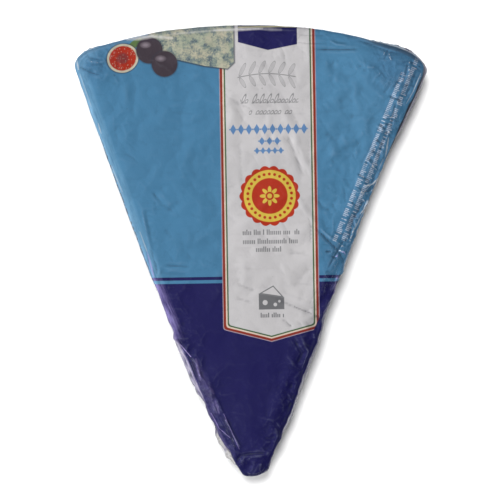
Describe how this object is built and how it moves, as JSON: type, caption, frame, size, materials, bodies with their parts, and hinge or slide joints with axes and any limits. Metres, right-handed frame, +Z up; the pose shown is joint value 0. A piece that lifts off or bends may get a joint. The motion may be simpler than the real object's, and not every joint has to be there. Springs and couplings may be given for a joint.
{
  "type": "foil-wrapped blue cheese wedge",
  "caption": "Wedge of soft blue cheese, an eighth of a wheel, shut tight in a printed foil with folded ears, lying on its flat side.",
  "frame": {"origin": "middle of the footprint, on the flat underside", "axes": "+Z up through the printed top face, +Y from the nose towards the rind side, +X to the right with the nose pointing at the viewer"},
  "size_m": [0.1166, 0.1516, 0.086],
  "materials": {
    "printed_foil": "soft crumpled aluminium foil with a satin print: light blue and navy fields, a pale middle panel with a red, cream and green border"
  },
  "bodies": {
    "root": {"foil_wrapped_wedge": "printed_foil"}
  },
  "joints": []
}
